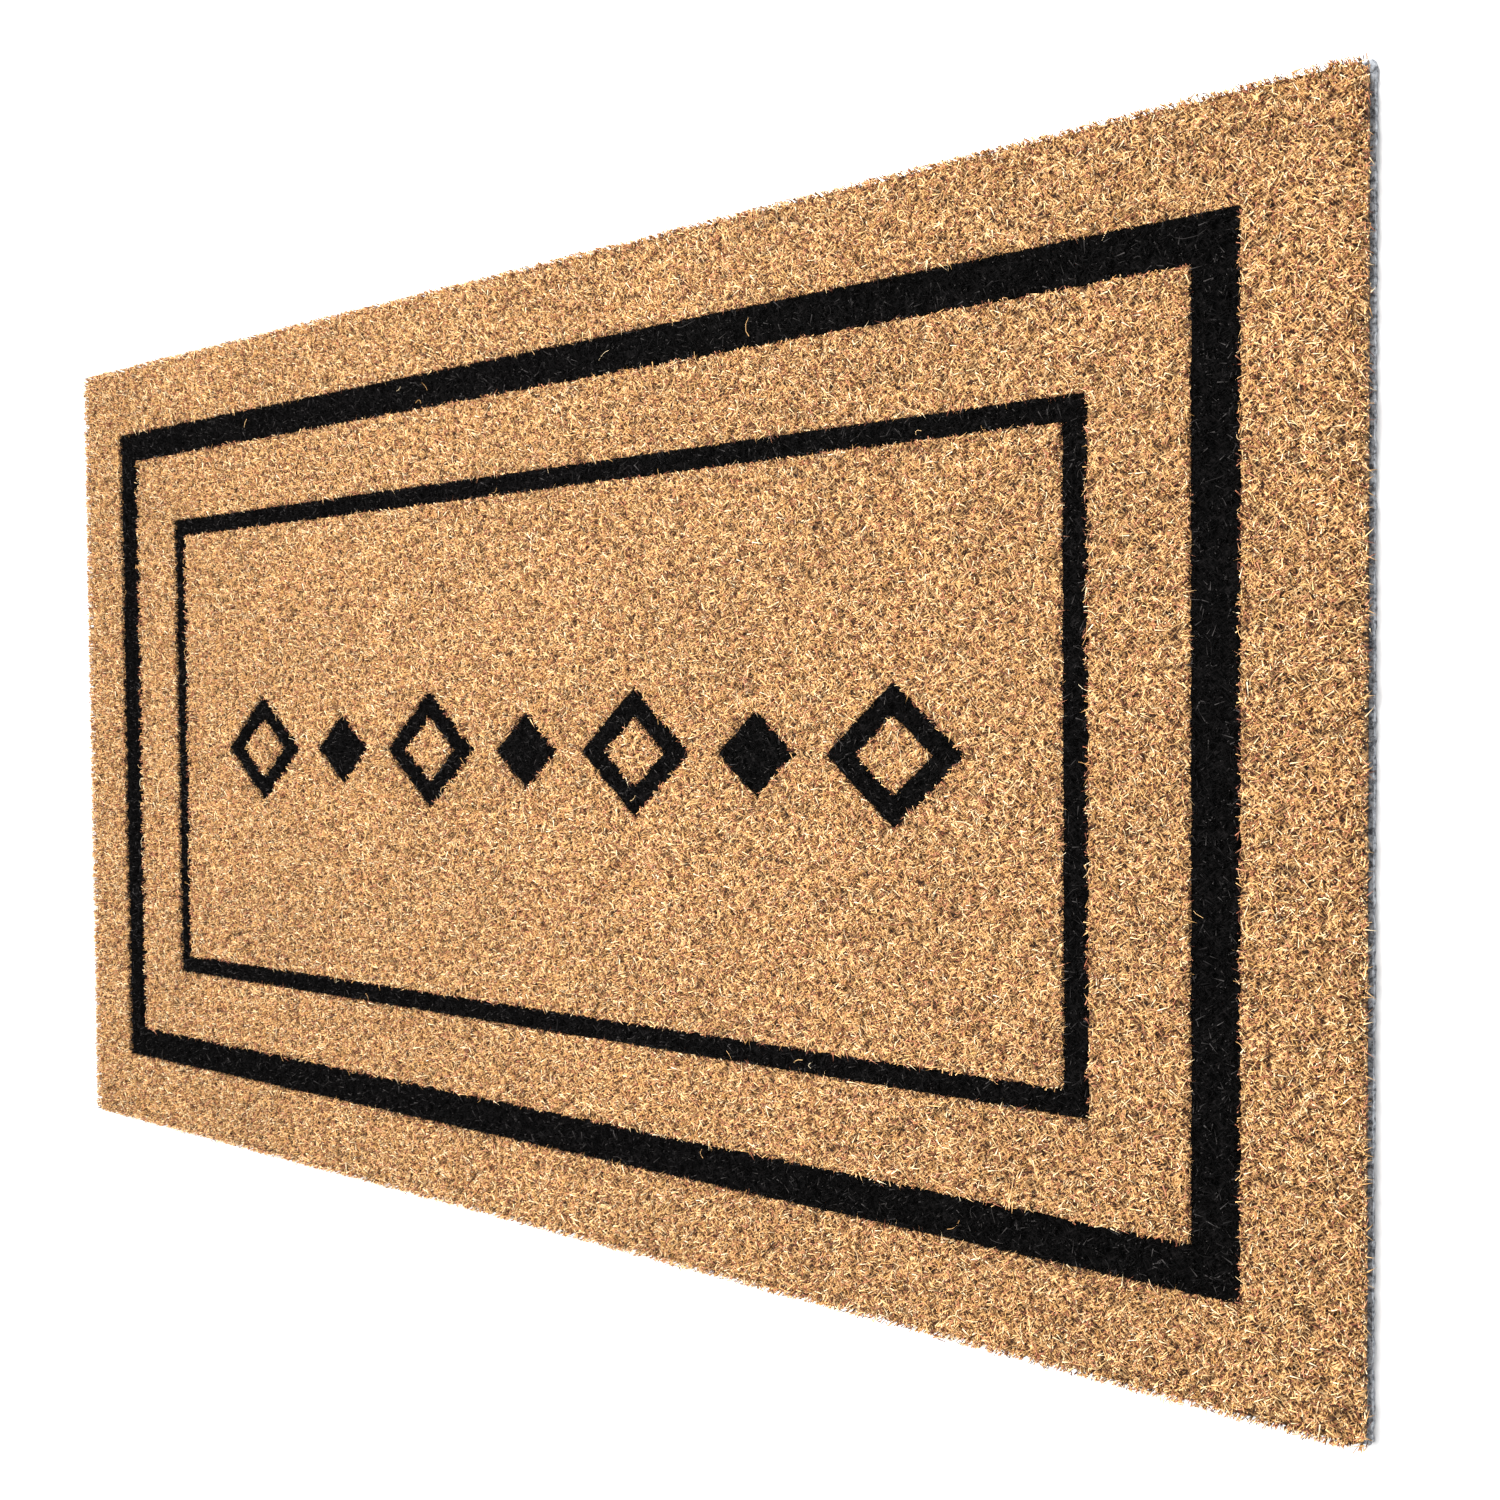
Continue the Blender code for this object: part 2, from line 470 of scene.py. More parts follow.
def roots_finish(name, steps, specular):
    """Packed coir: strands that cross on top and stand upright on the walls, with painted shade between the
    strands, in the gaps and low down.
    """
    material, tree, shader = new_material(name, 0.85, specular)
    strands = [
        noise(tree, STRAND, 2.0, (4, 1, 8), 0.6, turn=math.radians(degrees)) for degrees in (35, 130)
    ]
    grain_and_shade = node(tree, "ShaderNodeMath", {0: strands[0], 1: strands[1]}, operation="MAXIMUM").outputs[0]
    colour = varied(tree, shader, colour_steps(tree, grain_and_shade, steps), 1 * MM, (0.75, 0.95))
    # Painted shade: darker down in the gap round each mound.
    colour = multiplied(tree, colour, between(tree, attribute(tree, "gap"), 0.4, 1.0, 1.0, 0.5))
    # Painted shade: darker low down on the walls, where little light reaches.
    colour = multiplied(tree, colour, between(tree, height(tree), *WALL_SHADE_RANGE, 0.4, 1.0))
    tree.links.new(colour, shader.inputs["Base Color"])
    bumped(tree, shader, grain_and_shade, BUMP_DEPTH)
    return material


STRAND = 0.7 * MM
BUMP_DEPTH = 0.6 * MM
WALL_SHADE_RANGE = (3.0 * MM, 9.0 * MM)
# Blue-grey mottle. The darkest step is painted shade in the pits.
PVC_MOTTLE_AND_SHADE = [
    (0.40, (0.05, 0.055, 0.065)),
    (0.47, (0.19, 0.205, 0.23)),
    (0.60, (0.42, 0.445, 0.48)),
]
# Strand colours. The darkest step is painted shade between the strands.
ROOT_STRANDS_AND_SHADE = [
    (0.48, (0.022, 0.008, 0.004)),
    (0.54, (0.21, 0.09, 0.03)),
    (0.60, (0.56, 0.31, 0.12)),
    (0.70, (0.92, 0.62, 0.30)),
]
DYED_ROOT_SHADES = [(0.48, (0.001, 0.001, 0.001)), (0.68, (0.009, 0.008, 0.008))]
grey_pvc = pvc_finish()
coir_roots = roots_finish("coir roots", ROOT_STRANDS_AND_SHADE, 0.2)
black_roots = roots_finish("dyed roots", DYED_ROOT_SHADES, 0.02)
backing.data.materials.append(grey_pvc)
print("finishes:", ", ".join(m.name for m in (natural_coir, black_coir, grey_pvc, coir_roots, black_roots)))

# %% [markdown]
# ## Clumps and the pile's outline
#
# Real coir stands in clumps of about five millimetres, because the fibres were spun into yarn before
# they were cut. A Voronoi pattern, seen from above, gives those clumps. The roots rise into a mound in
# each of its cells, and the tufts above lean to the middle of the same cells, so both are made from the
# one pattern. Another helper knows how far a point is from the pile's outline, where everything drops
# into a soft shoulder, as the cut edge of a mat does.

# %% Outline and clumps
PILE_CORNER = 2.4 * MM
SHOULDER_WIDTH = 7.0 * MM
SHOULDER_DROP = 2.4 * MM
CLUMP_SIZE = 4.6 * MM
END_SPLAY = (2.2, 1.0, 1.0)  # the short ends are cut across the yarn, so they splay out further

pile_half = Vector((pile_high.x, pile_high.y))


def depth_inside(x, y, half, radius):
    """How far points lie inside a rounded rectangle's outline (negative outside), and the way out."""
    over_x = np.abs(x) - (half[0] - radius)
    over_y = np.abs(y) - (half[1] - radius)
    in_corner = (over_x > 0) & (over_y > 0)
    reach = np.maximum(np.hypot(over_x, over_y), 1e-9)
    along_x = np.where(in_corner, over_x / reach, over_x > over_y) * np.sign(x)
    along_y = np.where(in_corner, over_y / reach, over_x <= over_y) * np.sign(y)
    depth = radius - np.where(in_corner, reach, np.maximum(over_x, over_y))
    return depth, along_x, along_y


def coordinates(mesh):
    """The places of a mesh's vertices, one row each."""
    found = np.empty(len(mesh.vertices) * 3)
    mesh.vertices.foreach_get("co", found)
    return found.reshape(-1, 3)


def give_vectors(mesh, name, values):
    """Stores a vector for each vertex under this name."""
    layer = mesh.attributes.new(name, "FLOAT_VECTOR", "POINT")
    layer.data.foreach_set("vector", np.ravel(values).astype(np.float32))


def near_edge(points):
    """How far into the shoulder each point is, from 0 to 1 at the outline, and the way out there."""
    depth, out_x, out_y = depth_inside(points[..., 0], points[..., 1], pile_half, PILE_CORNER)
    near = np.clip(1 - depth / SHOULDER_WIDTH, 0, 1) ** 2
    return near, np.stack([out_x, out_y, 0 * out_x], axis=-1)


def shape_shoulder(ground, lean, above=0.0):
    """Lowers what is above a height towards the pile's outline, and gives it an outward lean there."""
    points = coordinates(ground.data)
    near, out = near_edge(points)
    points[:, 2] -= SHOULDER_DROP * near * (points[:, 2] > above)
    ground.data.vertices.foreach_set("co", points.ravel())
    give_vectors(ground.data, "lean", out * near[:, None] * lean * END_SPLAY)


def clump_cells(tree, place):
    """The Voronoi pattern of the clumps, seen from above."""
    return node(
        tree,
        "ShaderNodeTexVoronoi",
        {"Vector": place, "Scale": 1.0 / CLUMP_SIZE},
        voronoi_dimensions="2D",
    )


def geometry_tree(name):
    """A new Geometry Nodes tree, and its input geometry."""
    tree = bpy.data.node_groups.new(name, "GeometryNodeTree")
    tree.interface.new_socket("Geometry", in_out="INPUT", socket_type="NodeSocketGeometry")
    tree.interface.new_socket("Geometry", in_out="OUTPUT", socket_type="NodeSocketGeometry")
    return tree, node(tree, "NodeGroupInput").outputs[0]


def apply_tree(piece, tree):
    """Runs a Geometry Nodes tree on the piece and keeps the result."""
    modifier = piece.modifiers.new(tree.name, "NODES")
    modifier.node_group = tree
    only_this(piece)
    bpy.ops.object.modifier_apply(modifier=modifier.name)


# %% [markdown]
# ## Roots of the pile
#
# Below the tufts the fibres stand too close to tell apart: they are a packed mass with a mound in each
# clump and a gap round it, where the colour is painted darker as shade. Each field's solid serves for
# it. It is lowered, diced into small columns by bisecting it again and again, subdivided on top, and
# pressed into mounds by a small Geometry Nodes tree, which also keeps how far down each point lies,
# for that painted shade. A displacement then breaks up the mounds. The outer wall steps in a little, so
# that the edge fibres stand in front of it.

# %% Root tools
ROOTS_TOP = 12.7 * MM
ROOTS_GAP = 1.1 * MM
ROOTS_INSET = 0.3 * MM
ROOTS_CELL = 5.6 * MM
ROOTS_CUTS = 2
ROOTS_LUMPS = 1.6 * MM
ROOTS_ROUGHNESS = 1.0 * MM
ROOTS_RIM = 10 * MM  # how much of the outermost bed the inset moves
MOUND_STEEPNESS = 2.6
MOUND_REACH = 2.5 * MM  # what lies further below the roots' top stays put
ROOTS_FOOT = 3 * MM  # and the walls below this height stay smooth


def dice(piece, low, high, step):
    """Bisects the piece into square columns of this size, then subdivides their tops."""
    for axis in (0, 1):
        for place in np.arange(low[axis] + step / 2, high[axis], step):
            cut, way = Vector((0, 0, 0)), Vector((0, 0, 0))
            cut[axis], way[axis] = place, 1
            bpy.ops.mesh.select_all(action="SELECT")
            bpy.ops.mesh.bisect(plane_co=cut, plane_no=way)
    select_faces(piece, lambda face: face.normal.z > 0.3 and len(face.vertices) > 4)
    bpy.ops.mesh.quads_convert_to_tris()
    select_faces(piece, lambda face: face.normal.z > 0.3)
    bpy.ops.mesh.subdivide(number_cuts=ROOTS_CUTS)


def mound_nodes(deepest, above):
    """A node tree that lowers what is above a height, from each clump's middle down to its gap."""
    tree, piece = geometry_tree("mounds")
    place = node(tree, "GeometryNodeInputPosition").outputs[0]
    from_middle = clump_cells(tree, place).outputs["Distance"]
    drop = node(tree, "ShaderNodeMath", {0: from_middle, 1: 2.0}, operation="POWER").outputs[0]
    drop = node(tree, "ShaderNodeMath", {0: drop, 1: MOUND_STEEPNESS}, operation="MULTIPLY").outputs[0]
    gap = node(tree, "ShaderNodeMath", {0: drop, 1: 1.0}, operation="MINIMUM").outputs[0]
    drop = node(tree, "ShaderNodeMath", {0: gap, 1: -deepest}, operation="MULTIPLY").outputs[0]
    level = node(tree, "ShaderNodeSeparateXYZ", {0: place}).outputs["Z"]
    is_top = node(
        tree, "FunctionNodeCompare", {0: level, 1: above}, data_type="FLOAT", operation="GREATER_THAN"
    )
    moved = node(
        tree,
        "GeometryNodeSetPosition",
        {
            "Geometry": piece,
            "Selection": is_top.outputs[0],
            "Offset": node(tree, "ShaderNodeCombineXYZ", {"Z": drop}).outputs[0],
        },
    )
    # The drop is kept as gap, and the roots' finish paints shade by it.
    marked = node(
        tree,
        "GeometryNodeStoreNamedAttribute",
        {"Geometry": moved.outputs[0], "Name": "gap", "Value": gap},
        data_type="FLOAT",
        domain="POINT",
    )
    node(tree, "NodeGroupOutput", {0: marked.outputs[0]})
    return tree


# %% Roots
nodes = sorted(frame["nodes"])
FIELDS = ["coir_border_outer", "black_frame_outer", "coir_border_middle", "black_frame_inner"]
FIELDS += ["coir_centre_panel"]
FIELDS += [name for name in nodes if "lozenge_open" in name]
FIELDS += [name for name in nodes if "filling" in name or "lozenge_solid" in name]
is_black = np.array(["black" in name for name in FIELDS])

mounds = mound_nodes(ROOTS_GAP, above=ROOTS_TOP - MOUND_REACH)
roots = []
for number, name in enumerate(FIELDS):
    piece = copy_of_node(name, f"{name}_roots")
    low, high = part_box(name)
    bpy.ops.object.mode_set(mode="EDIT")
    bpy.ops.mesh.select_all(action="SELECT")
    squash = (ROOTS_TOP - low.z) / (high.z - low.z)
    bpy.ops.transform.resize(value=(1, 1, squash), center_override=(0, 0, low.z))
    if number == 0:
        select_points(
            piece, lambda co: abs(co.x) > high.x - ROOTS_RIM or abs(co.y) > high.y - ROOTS_RIM
        )
        inset = (1 - ROOTS_INSET / high.x, 1 - ROOTS_INSET / high.y, 1)
        bpy.ops.transform.resize(value=inset, center_override=(0, 0, 0))
    dice(piece, low, high, ROOTS_CELL)
    bpy.ops.object.mode_set(mode="OBJECT")
    apply_tree(piece, mounds)
    foot = low.z + ROOTS_FOOT
    shape_shoulder(piece, 0.0, above=foot)
    lumps = group_of(piece, "top", lambda co: co.z > foot)
    roughen(piece, lumps, ROOTS_LUMPS, ROOTS_ROUGHNESS)
    piece.data.materials.append(black_roots if is_black[number] else coir_roots)
    roots.append(piece)
print(f"{len(roots)} beds of roots, {sum(len(p.data.polygons) for p in roots)} faces in all")

# %% [markdown]
# ## Fibre and tufts
#
# Coir is coarse: a fibre is a stiff, slightly tapered strand that the level cut leaves with a blunt end.
# Hundreds of thousands of them have to fit in memory, so each fibre is the smallest closed shape there is:
# a three-sided cone that stands on its point, with its cut end up. Ten of them, fanned out as the yarn
# opens after cutting, make one tuft. Some lie nearly flat near the top of the pile, bent over and
# tangled, and their feet are lost among the others. Fourteen tufts are modelled once and then reused.

# %% Tuft shapes
TUFT_KINDS = 14
FIBRES_IN_TUFT = 10
FIBRE_CORNERS = 4
FIBRE_RADII = (0.17, 0.27)  # millimetres
TUFT_HEIGHT = 6.6 * MM

chooser = random.Random(41)


def fibre(top, lean, heading, length, radius):
    """A blunt fibre whose cut end is at top. It leans away from upright towards heading."""
    direction = Vector(
        (math.sin(lean) * math.cos(heading), math.sin(lean) * math.sin(heading), math.cos(lean))
    )
    bpy.ops.mesh.primitive_cone_add(
        vertices=3,
        radius1=0.0,
        radius2=radius,
        depth=length,
        end_fill_type="NGON",
        location=top - direction * length / 2,
        rotation=direction.to_track_quat("Z", "X").to_euler(),
    )
    return bpy.context.object


def joined(pieces, name, collection):
    """The pieces as one object, with its place in its mesh, moved to the collection."""
    bpy.ops.object.select_all(action="DESELECT")
    for piece in pieces:
        piece.select_set(True)
    bpy.context.view_layer.objects.active = pieces[0]
    if len(pieces) > 1:
        bpy.ops.object.join()
    bpy.ops.object.transform_apply(location=True, rotation=True, scale=True)
    made = bpy.context.object
    made.name = made.data.name = name
    for old in list(made.users_collection):
        old.objects.unlink(made)
    collection.objects.link(made)
    return made


def tuft(name, collection, height, spread, lean, bent_over):
    """A tuft that stands on the origin. Its ends fan out to spread, and a share of them are bent over."""
    fibres = []
    for number in range(FIBRES_IN_TUFT):
        heading = number * math.tau / FIBRES_IN_TUFT + chooser.uniform(-0.5, 0.5)
        out = spread * math.sqrt(chooser.uniform(0.02, 1.0))
        level = height + chooser.gauss(0, 0.38) * MM
        top = Vector((out * math.cos(heading), out * math.sin(heading), level))
        if chooser.random() < bent_over:
            tilt = math.radians(chooser.uniform(50, 78))
            turn = heading + chooser.gauss(0, 1.6)
            length = chooser.uniform(3.2, 5.2) * MM
        else:
            tilt = math.radians(chooser.uniform(4, lean))
            turn = heading + chooser.gauss(0, 0.7)
            length = height * chooser.uniform(0.85, 1.05)
        fibres.append(fibre(top, tilt, turn, length, chooser.uniform(*FIBRE_RADII) * MM))
    return joined(fibres, name, collection)


def new_shapes(name):
    """A collection for shapes that are only there to be scattered."""
    collection = bpy.data.collections.new(name)
    bpy.context.scene.collection.children.link(collection)
    return collection


tufts = new_shapes("tuft shapes")
for number in range(TUFT_KINDS):
    tuft(f"tuft_{number:02d}", tufts, TUFT_HEIGHT, spread=1.9 * MM, lean=36, bent_over=0.45)

# %% [markdown]
# ## Scattering the tufts
#
# The tufts could be copied by hand in a loop, but a Geometry Nodes modifier does it in one pass: it
# drops points on a ground mesh no closer than a set distance, picks a tuft for each, and turns it.
# Tufts lean to the middle of their clump, which opens dark gaps between clumps, and they remember the
# clump's own shade. The ground mesh can add a lean of its own through an attribute, such as the outward
# splay at the mat's edge.

# %% Scatter nodes
CLUMP_GATHER = 65.0  # how far a tuft leans to its clump's middle, per metre that it stands from it
RANDOM_LEAN = 0.16
CROWDING = 8.0  # points tried for each square of the spacing, enough to leave no bare spots


def scatter_nodes(name, shapes, spacing, seed, gather, lean, scale):
    """A node tree that replaces its ground mesh by shapes scattered on it, no closer than spacing."""
    tree, ground = geometry_tree(name)
    points = node(
        tree,
        "GeometryNodeDistributePointsOnFaces",
        {"Mesh": ground, "Distance Min": spacing, "Density Max": CROWDING / spacing**2, "Seed": seed},
        distribute_method="POISSON",
    )
    place = node(tree, "GeometryNodeInputPosition").outputs[0]
    clump = clump_cells(tree, place)
    to_middle = node(
        tree, "ShaderNodeVectorMath", {0: clump.outputs["Position"], 1: place}, operation="SUBTRACT"
    )
    level = node(
        tree,
        "ShaderNodeVectorMath",
        {0: to_middle.outputs[0], 1: (gather, gather, 0.0)},
        operation="MULTIPLY",
    )
    own_lean = node(
        tree, "GeometryNodeInputNamedAttribute", {"Name": "lean"}, data_type="FLOAT_VECTOR"
    )
    stray = node(
        tree,
        "FunctionNodeRandomValue",
        {"Min": (-lean, -lean, 1.0), "Max": (lean, lean, 1.0), "Seed": seed + 1},
        data_type="FLOAT_VECTOR",
    )
    leaning = node(
        tree, "ShaderNodeVectorMath", {0: level.outputs[0], 1: own_lean.outputs[0]}, operation="ADD"
    )
    upright = node(
        tree, "ShaderNodeVectorMath", {0: leaning.outputs[0], 1: stray.outputs[0]}, operation="ADD"
    )
    tilt = node(
        tree, "FunctionNodeAlignRotationToVector", {"Vector": upright.outputs[0]}, axis="Z"
    )
    spin = node(
        tree,
        "FunctionNodeRandomValue",
        {"Min": (0, 0, 0), "Max": (0, 0, math.tau), "Seed": seed + 2},
        data_type="FLOAT_VECTOR",
    )
    turned = node(
        tree,
        "FunctionNodeRotateRotation",
        {"Rotation": tilt.outputs[0], "Rotate By": spin.outputs[0]},
        rotation_space="LOCAL",
    )
    size = node(
        tree,
        "FunctionNodeRandomValue",
        {2: scale[0], 3: scale[1], "Seed": seed + 3},
        data_type="FLOAT",
    )
    kinds = node(
        tree, "GeometryNodeCollectionInfo", {"Collection": shapes, "Separate Children": True}
    )
    kind = node(
        tree,
        "FunctionNodeRandomValue",
        {4: 0, 5: len(shapes.objects) - 1, "Seed": seed + 4},
        data_type="INT",
    )
    placed = node(
        tree,
        "GeometryNodeInstanceOnPoints",
        {
            "Points": points.outputs["Points"],
            "Instance": kinds.outputs[0],
            "Pick Instance": True,
            "Instance Index": kind.outputs[2],
            "Rotation": turned.outputs[0],
            "Scale": size.outputs[1],
        },
    )
    remembered = node(
        tree,
        "GeometryNodeStoreNamedAttribute",
        {"Geometry": placed.outputs[0], "Name": "clump", "Value": clump.outputs["Color"]},
        data_type="FLOAT_VECTOR",
        domain="INSTANCE",
    )
    real = node(tree, "GeometryNodeRealizeInstances", {"Geometry": remembered.outputs[0]})
    node(tree, "NodeGroupOutput", {0: real.outputs[0]})
    return tree


# %% [markdown]
# ## The pile, before it is dyed
#
# The main pile stands on a ground grid a little under half of its height, because the lower half of a
# fibre never shows from above. Along the mat's edge the grid dips and carries an outward lean, so the
# pile gets the soft rounded shoulder of a mat that has been cut from a roll. The outermost fibres show
# down to the backing: they are a second, taller kind of tuft that stands on a narrow strip at the rim.

# %% Grow the pile
GROUND_HEIGHT = 7.6 * MM
GROUND_CELL = 3.0 * MM
GROUND_INSET = 0.2 * MM
TUFT_SPACING = 2.5 * MM
SHOULDER_LEAN = 0.22

EDGE_STRIP = 2.6 * MM
EDGE_TUFT_HEIGHT = 9.6 * MM
EDGE_TUFT_SPACING = 1.5 * MM
EDGE_LEAN = 0.16
EDGE_TUFT_KINDS = 8

ground_size = Vector((2 * (pile_half.x - GROUND_INSET), 2 * (pile_half.y - GROUND_INSET), 1))
columns = round(ground_size.x / GROUND_CELL)
rows = round(ground_size.y / GROUND_CELL)
bpy.ops.mesh.primitive_grid_add(x_subdivisions=columns, y_subdivisions=rows, size=1)
pile = bpy.context.object
pile.name = "pile"
bpy.ops.transform.resize(value=ground_size)
bpy.ops.transform.translate(value=(0, 0, GROUND_HEIGHT))
bpy.ops.object.transform_apply(location=True, scale=True)
shape_shoulder(pile, SHOULDER_LEAN)
apply_tree(
    pile,
    scatter_nodes(
        "scatter the pile", tufts, TUFT_SPACING, 3, CLUMP_GATHER, RANDOM_LEAN, (0.93, 1.07)
    ),
)
print(f"pile: {len(pile.data.vertices) // FIBRE_CORNERS} fibres")

# %% Grow the edge
edge_tufts = new_shapes("edge tuft shapes")
for number in range(EDGE_TUFT_KINDS):
    tuft(
        f"edge_tuft_{number:02d}",
        edge_tufts,
        EDGE_TUFT_HEIGHT,
        spread=1.0 * MM,
        lean=14,
        bent_over=0.06,
    )

bpy.ops.mesh.primitive_plane_add(size=1)
edge_pile = bpy.context.object
edge_pile.name = "edge_pile"
bpy.ops.transform.resize(value=ground_size)
bpy.ops.transform.translate(value=(0, 0, backing_high.z))
bpy.ops.object.transform_apply(location=True, scale=True)
bpy.ops.object.mode_set(mode="EDIT")
bpy.ops.mesh.bevel(offset=PILE_CORNER, segments=5, affect="VERTICES")
bpy.ops.mesh.select_mode(type="FACE")
bpy.ops.mesh.select_all(action="SELECT")
bpy.ops.mesh.inset(thickness=EDGE_STRIP)
bpy.ops.mesh.delete(type="FACE")
bpy.ops.object.mode_set(mode="OBJECT")
shape_shoulder(edge_pile, EDGE_LEAN, above=PILE_TOP)
apply_tree(
    edge_pile,
    scatter_nodes("scatter the edge", edge_tufts, EDGE_TUFT_SPACING, 21, 0.0, 0.06, (0.88, 1.04)),
)
print(f"edge: {len(edge_pile.data.vertices) // FIBRE_CORNERS} fibres")

# %% [markdown]
# ## Dyeing: sorting the fibres into their fields
#
# The pattern is dyed into the finished pile through a stencil, so a fibre is black or natural by where
# its top stands, not by which tuft it belongs to. That is what makes the frames' edges crisp, with a
# millimetre or two of fuzz where fibres lean across. They could be picked and separated in edit mode,
# field by field. Here they are sorted as arrays, which also give each fibre its own shade: each field's
# outline comes from its solid in the frame, the innermost outline that holds a fibre's top wins, and
# every field becomes a piece, or a few pieces where it is large.

# %% Field outlines
DYE_BLEED = 0.15 * MM
TOP_SHARE = 0.75  # the stencil's line crosses a fibre this far up
STAIN_REACH = 1.0 * MM
STAIN_SHADE = 0.3  # natural fibres next to the dye keep this share of their shade
SIDE_DEPTH = -0.5  # millimetres; a fibre whose top is further outside the outline is left out
END_DEPTH = -1.5

chance = np.random.default_rng(12)


def inside_field(name, x, y):
    """Which points lie inside the outer outline of a field."""
    low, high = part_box(name)
    across = np.abs(x - (low.x + high.x) / 2) / ((high.x - low.x) / 2)
    along = np.abs(y - (low.y + high.y) / 2) / ((high.y - low.y) / 2)
    return (across + along < 1) if "lozenge" in name else np.maximum(across, along) < 1


def fields_at(x, y, blur):
    """The number of the field that each point stands in, read with an unsteady hand."""
    x = x + chance.normal(0, blur, len(x))
    y = y + chance.normal(0, blur, len(y))
    found = np.zeros(len(x), int)
    for number, name in enumerate(FIELDS):
        found[inside_field(name, x, y)] = number
    return found


# %% Fibre pieces
CELL = [(0.15, 0.85), (0.85, 0.85), (0.5, 0.65)]  # a face's corners in the fibre's texture cell
FOOT = (0.5, 0.1)  # and the corner that is the fibre's foot


def read_fibres(grown, corner_count):
    """Every fibre's corners, its clump's shade, and its faces as numbers of its own corners."""
    corners = coordinates(grown.data).reshape(-1, corner_count, 3)
    clump = np.empty(len(grown.data.vertices) * 3, np.float32)
    grown.data.attributes["clump"].data.foreach_get("vector", clump)
    faces = np.empty(len(grown.data.loops), np.int32)
    grown.data.loops.foreach_get("vertex_index", faces)
    first = corner_count * np.arange(len(corners))[:, None]
    own_faces = faces.reshape(len(corners), -1) - first
    return corners, clump.reshape(-1, corner_count, 3)[:, 0, 0], own_faces


def fibre_piece(name, corners, faces, clump, shade, material):
    """A piece made of these fibres. Each has a shade, its clump's shade and a cell of the texture.

    Level is a point's height as a share of the pile's, as if the pile had no shoulder.
    """
    count, corner_count = corners.shape[:2]
    mesh = bpy.data.meshes.new(name)
    mesh.vertices.add(corner_count * count)
    mesh.vertices.foreach_set("co", corners.ravel())
    mesh.loops.add(faces.size)
    first = corner_count * np.arange(count)[:, None]
    mesh.loops.foreach_set("vertex_index", (faces + first).ravel())
    face_count = faces.size // 3
    mesh.polygons.add(face_count)
    mesh.polygons.foreach_set("loop_start", 3 * np.arange(face_count))
    mesh.polygons.foreach_set("use_smooth", np.zeros(face_count, bool))
    mesh.update(calc_edges=True)
    near, out = near_edge(corners)
    level = (corners[..., 2] + SHOULDER_DROP * near).ravel() / PILE_TOP
    for label, values in (
        ("clump", np.repeat(clump, corner_count)),
        ("shade", np.repeat(shade, corner_count)),
        ("level", level),
    ):
        layer = mesh.attributes.new(label, "FLOAT", "POINT")
        layer.data.foreach_set("value", values.astype(np.float32))
    per_side = math.ceil(math.sqrt(count))
    number = np.arange(count)
    cells = np.stack([number % per_side, number // per_side], axis=1)[:, None, :]
    pattern = np.tile(CELL, (faces.shape[1] // 3, 1))
    pattern = np.where((faces == 0)[..., None], FOOT, pattern)
    layer = mesh.uv_layers.new(name="OFBake")
    layer.uv.foreach_set("vector", ((cells + pattern) / per_side).ravel().astype(np.float32))
    mesh.materials.append(material)
    piece = bpy.data.objects.new(name, mesh)
    bpy.context.scene.collection.objects.link(piece)
    return piece


# %% Sort the fibres
corners, clump, faces = read_fibres(pile, FIBRE_CORNERS)
edge_corners, edge_clump, edge_faces = read_fibres(edge_pile, FIBRE_CORNERS)
corners = np.concatenate([corners, edge_corners])
clump = np.concatenate([clump, edge_clump])
faces = np.concatenate([faces, edge_faces])
tops = corners[:, 1:].mean(axis=1)
marks = TOP_SHARE * tops + (1 - TOP_SHARE) * corners[:, 0]
depth = depth_inside(tops[:, 0], tops[:, 1], pile_half, PILE_CORNER)[0]
at_end = pile_half.x - np.abs(tops[:, 0]) < pile_half.y - np.abs(tops[:, 1])
reach = np.where(at_end, END_DEPTH, SIDE_DEPTH) + chance.normal(0, 0.3, len(tops))
kept = depth > reach * MM
corners, clump, faces = corners[kept], clump[kept], faces[kept]
tops, marks = tops[kept], marks[kept]
field = fields_at(marks[:, 0], marks[:, 1], DYE_BLEED)
blurred = fields_at(marks[:, 0], marks[:, 1], STAIN_REACH)
shade = chance.random(len(tops))
shade[is_black[blurred] & ~is_black[field]] *= STAIN_SHADE
bpy.data.objects.remove(pile)
bpy.data.objects.remove(edge_pile)

frame_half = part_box("black_frame_outer")[1]
panel_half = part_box("coir_centre_panel")[1]
SPLITS = {
    "coir_border_outer": [
        ("_top", tops[:, 1] > frame_half.y),
        ("_bottom", tops[:, 1] < -frame_half.y),
        ("_left", (np.abs(tops[:, 1]) <= frame_half.y) & (tops[:, 0] < 0)),
        ("_right", (np.abs(tops[:, 1]) <= frame_half.y) & (tops[:, 0] >= 0)),
    ],
    "coir_border_middle": [("_upper", tops[:, 1] >= 0), ("_lower", tops[:, 1] < 0)],
    "coir_centre_panel": [
        (f"_row_{row + 1}", np.floor((tops[:, 1] / panel_half.y + 1) * 2).clip(0, 3) == row)
        for row in range(4)
    ],
}
EVERYWHERE = [("", np.ones(len(tops), bool))]

